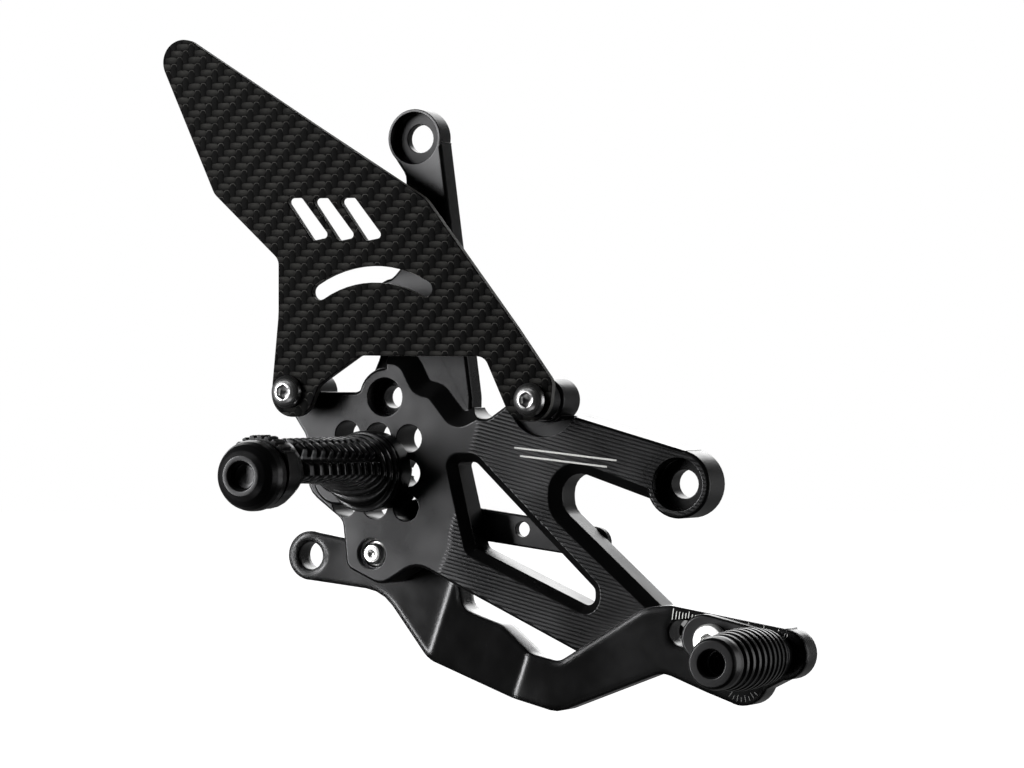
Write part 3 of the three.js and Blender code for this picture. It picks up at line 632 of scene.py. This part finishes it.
# ---------------------------------------------------------------- toe peg
def toe_rows(count=144):
    outline = [(3.4, -66, 0), (3.4, -30.0, 0.2), (3.8, -29.35, 0.2), (7.3, -29.3, 0.3), (7.6, -29.8, 0.3)]
    first, last, rings = -31.5, -66.4, 9
    pitch = (last - first) / rings
    outline.append((7.7, first + 0.1, 0.2))
    for n in range(rings):
        for part, cut in ((0.04, 0.35), (0.12, 0.0), (0.5, 0.0), (0.58, 0.35), (0.64, 1.45), (0.97, 1.45)):
            t = (n + part) / rings
            r = 8.35 + 1.1 * math.sin(math.pi * t) - 0.3 * t
            outline.append((r - cut, first + pitch * (n + part), 0.28 if cut < 1 else 0.2))
    outline += [(8.0, last, 0.3), (8.0, -68.6, 0.5), (7.6, -71.2, 0.8), (6.9, -72.4, 0.5), (4.5, -72.4, 0.3),
                (3.95, -71.6, 0.3), (3.9, -66.2, 0.2), (3.5, -66, 0)]
    return [ring(*TOE, p.x, p.y, count) for p in smooth(outline, 25)]


toe_black = anodised("black_anodised_toe", lathe_marks(*TOE), tone=0.5, rough=0.3)
piece("toe_peg_barrel", toe_rows(), toe_black, "toe_slider", ("toe_peg",), through=True)


# ---------------------------------------------------------------- screws
def button(name, node, x, z, end, seat, body):
    turned(name, x, z, [
        (0.0, end, 0), (2.6, end, 0.2), (3.0, end - 0.5, 0.1), (3.0, seat + 0.05, 0.05),
        (5.0, seat + 0.02, 0.1), (5.25, seat - 0.25, 0.2), (5.22, seat - 0.8, 0.4),
        (4.75, seat - 1.9, 1.4), (3.7, seat - 2.85, 1.6),
        (2.75, seat - 3.25, 0.4), (2.45, seat - 3.3, 0)],
        polished_steel("steel_" + name, x, z, (0.40, 0.40, 0.40), 0.30), body, "polished_steel", (node,),
        socket=(4.0, 1.9, 2.42))


button("guard_button_rear", "guard_screw_rear", *REAR_GUARD, -3.0, -22.8, "chassis")
button("guard_button_front", "guard_screw_front", *FRONT_GUARD, -3.0, -22.8, "chassis")
turned("toe_clamp_button", *CLAMP, [
    (0.0, -13.7, 0), (2.6, -13.7, 0.2), (3.0, -14.2, 0.1), (3.0, -29.25, 0.05), (5.0, -29.28, 0.1),
    (5.25, -29.6, 0.2), (5.25, -31.6, 0.5), (4.7, -32.4, 0.5), (2.75, -32.55, 0.1), (2.45, -32.6, 0)],
    polished_steel("steel_toe_clamp", *CLAMP, (0.85, 0.85, 0.84), 0.5), "toe_slider", "polished_steel",
    ("toe_clamp_screw",), socket=(4.0, 1.9, 2.42))

turned("pivot_shaft", *PIVOT, [
    (0.0, 15.9, 0), (6.3, 15.9, 0.3), (7.0, 15.2, 0.4), (7.0, 11.6, 0.3), (6.8, 11.5, 0.1), (4.0, 11.5, 0.1),
    (4.0, -10.0, 0.1), (3.3, -10.05, 0.1), (3.3, -12.0, 0.2), (2.7, -12.7, 0.3), (1.3, -12.7, 0.1),
    (0.0, -12.0, 0)],
    polished_steel("steel_pivot", *PIVOT, rough=0.22), "chassis", "polished_steel", ("pivot_bolt",))

adapter_low, adapter_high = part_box("adapter_screw")[0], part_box("adapter_screw")[1]
ADAPTER = ((adapter_low.x + adapter_high.x) / (2 * MM), (adapter_low.z + adapter_high.z) / (2 * MM))
turned("adapter_cap_screw", *ADAPTER, [
    (0.0, -1.0, 0), (3.0, -1.0, 0.2), (3.3, -1.4, 0.1), (3.3, -16.05, 0.05), (6.4, -16.1, 0.1),
    (6.5, -16.3, 0.1), (6.5, -19.6, 0.4), (6.0, -20.1, 0.3), (3.7, -20.1, 0)],
    polished_steel("steel_adapter", *ADAPTER, (0.85, 0.85, 0.84), 0.48), "chassis", "polished_steel",
    ("adapter_screw",), socket=(5.0, 2.5, 3.65))


# ---------------------------------------------------------------- laser marks
def laser_strokes(name, front, lines, material, body):
    """Thin raised strokes on a face at Y = front mm; a line is (x0, z0, x1, z1, width)."""
    mesh = bmesh.new()
    for x0, z0, x1, z1, width in lines:
        run = Vector((x1 - x0, 0, z1 - z0)).normalized()
        across = Vector((-run.z, 0, run.x)) * width / 2
        corners = [Vector((x0, front, z0)) - across, Vector((x1, front, z1)) - across,
                   Vector((x1, front, z1)) + across, Vector((x0, front, z0)) + across]
        back = [mesh.verts.new((c + Vector((0, 0.02, 0))) * MM) for c in corners]
        face = [mesh.verts.new((c - Vector((0, 0.05, 0))) * MM) for c in corners]
        mesh.faces.new(face)
        mesh.faces.new(back[::-1])
        for k in range(4):
            mesh.faces.new((back[k], back[(k + 1) % 4], face[(k + 1) % 4], face[k]))
    bmesh.ops.recalc_face_normals(mesh, faces=mesh.faces)
    data = bpy.data.meshes.new(name)
    mesh.to_mesh(data)
    mesh.free()
    data.materials.append(material)
    made = bpy.data.objects.new(name, data)
    bpy.context.scene.collection.objects.link(made)
    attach(made, body)


def upper_edge(x):
    """Height of the toe blade's upper edge."""
    return -39.4 - (x - 105.6) * 0.1684


def stroke(x, top, length, lean_degrees, width=0.26):
    lean = math.radians(lean_degrees)
    return (x, top, x - math.sin(lean) * length, top - math.cos(lean) * length, width)


scale = []
for n in range(12):
    x = 107.3 + n * 1.03
    top = upper_edge(x) - (0.55 if n % 5 == 0 else 1.25)
    foot = -43.7 + 0.10 * n + 0.9 * ease(n, 5, 11)
    scale.append(stroke(x, top, top - foot, 9, 0.28))
for x in (126.8, 131.9, 136.9, 141.7):
    scale.append(stroke(x, upper_edge(x) - 0.2, 0.85, 9))
for x in (143.6, 144.5):
    scale.append(stroke(x, upper_edge(x) - 1.3, 1.1, 9))
laser_strokes("lever_scale", BLADE_FRONT, scale, laser_mark("laser_marking", 1.0), "lever")
arc = []
LOBE_X, LOBE_Z, ARC_RADIUS = 129.7, -61.1, 7.0
for n in range(8):
    a = math.radians(232 + 12 * n)
    reach = 5.6 if n % 2 else 5.0
    arc.append((LOBE_X + ARC_RADIUS * math.cos(a), LOBE_Z + ARC_RADIUS * math.sin(a),
                LOBE_X + reach * math.cos(a), LOBE_Z + reach * math.sin(a), 0.24))
laser_strokes("lever_angle_scale", BLADE_FRONT, arc, laser_mark("laser_marking_faint", 0.10), "lever")
laser_strokes("bracket_pinstripes", BRACKET_FRONT,
              [(48.2, 8.2, 83.0, 4.4, 0.55), (50.2, 5.6, 79.8, 2.4, 0.55)],
              laser_mark("laser_marking_bracket", 1.0), "chassis")


# ---------------------------------------------------------------- stage, light, camera
def studio_floor():
    """A wide, gently domed pale floor under the part."""
    sides, level, sag = 48, -0.26, 1e-4
    mesh = bmesh.new()
    rings = []
    for r in (0.0, 0.4, 0.9, 1.6, 2.6, 4.0, 6.0, 9.0):
        angles = [k * math.pi / 24 for k in range(sides if r else 1)]
        points = [(r * math.cos(a), r * math.sin(a), level - r * r * sag) for a in angles]
        rings.append([mesh.verts.new(point) for point in points])
    for k in range(sides):
        mesh.faces.new((rings[0][0], rings[1][k], rings[1][(k + 1) % sides])).smooth = True
    for low, high in zip(rings[1:], rings[2:]):
        for k in range(sides):
            after = (k + 1) % sides
            mesh.faces.new((low[k], high[k], high[after], low[after])).smooth = True
    data = bpy.data.meshes.new("studio_floor")
    mesh.to_mesh(data)
    mesh.free()
    data.materials.append(studio_white())
    made = bpy.data.objects.new("studio_floor", data)
    bpy.context.scene.collection.objects.link(made)
    made.visible_glossy = False
    made.visible_diffuse = False


def softbox(name, azimuth, elevation, distance, size, power, aim=(0.035, -0.03, 0.02)):
    """An area light; azimuth 0 is outboard (-Y), positive towards +X. Distance and size are in metres."""
    light = bpy.data.lights.new(name, "AREA")
    light.shape = "RECTANGLE"
    light.size, light.size_y = size
    light.energy = power
    made = bpy.data.objects.new(name, light)
    a, e = math.radians(azimuth), math.radians(elevation)
    away = Vector((math.sin(a) * math.cos(e), -math.cos(a) * math.cos(e), math.sin(e)))
    made.location = Vector(aim) + away * distance
    made.rotation_mode = "QUATERNION"
    made.rotation_quaternion = away.to_track_quat("Z", "Y")
    bpy.context.scene.collection.objects.link(made)


studio_floor()
softbox("key_strip", -45, 2, 1.0, (0.16, 0.9), 26)
softbox("arm_glow", -27.5, 6.6, 0.49, (0.18, 0.10), 0.42, aim=(0.0, 0.0, 0.1))
softbox("side_right", 122, 0, 0.45, (0.40, 0.34), 1.0, aim=(0.120, -0.01, -0.02))
softbox("low_front", 5, -38, 1.2, (0.7, 0.25), 0.8)
softbox("back_fill", 200, 18, 1.3, (1.0, 0.9), 9)
softbox("top_front", -15, 50, 1.2, (0.7, 0.2), 0.6)

# white behind the part for the camera, a dim room for everything else
world = bpy.data.worlds.new("studio")
bpy.context.scene.world = world
world.use_nodes = True
sky = world.node_tree
way = sky.nodes.new("ShaderNodeTexCoord")
split = sky.nodes.new("ShaderNodeSeparateXYZ")
sky.links.new(way.outputs["Generated"], split.inputs[0])
seen = Val(sky, sky.nodes.new("ShaderNodeLightPath").outputs["Is Camera Ray"])
glow = seen.mix(Val(sky, split.outputs[1]).ramp(0.3, 1.0, 0.015, 0.16), 1.0)
sky.links.new(glow.socket, sky.nodes["Background"].inputs[1])
sky.nodes["Background"].inputs[0].default_value = (1, 1, 1, 1)

camera = bpy.data.cameras.new("camera")
camera.lens = 158.2
camera.sensor_width = 36
camera.dof.use_dof = False
camera.clip_start, camera.clip_end = 0.1, 20
view = bpy.data.objects.new("camera", camera)
view.location = (0.6416, -1.2873, 0.02805)
view.rotation_euler = (math.radians(90), 0, math.radians(25))
bpy.context.scene.collection.objects.link(view)
bpy.context.scene.camera = view
bpy.context.scene.view_settings.view_transform = "Standard"
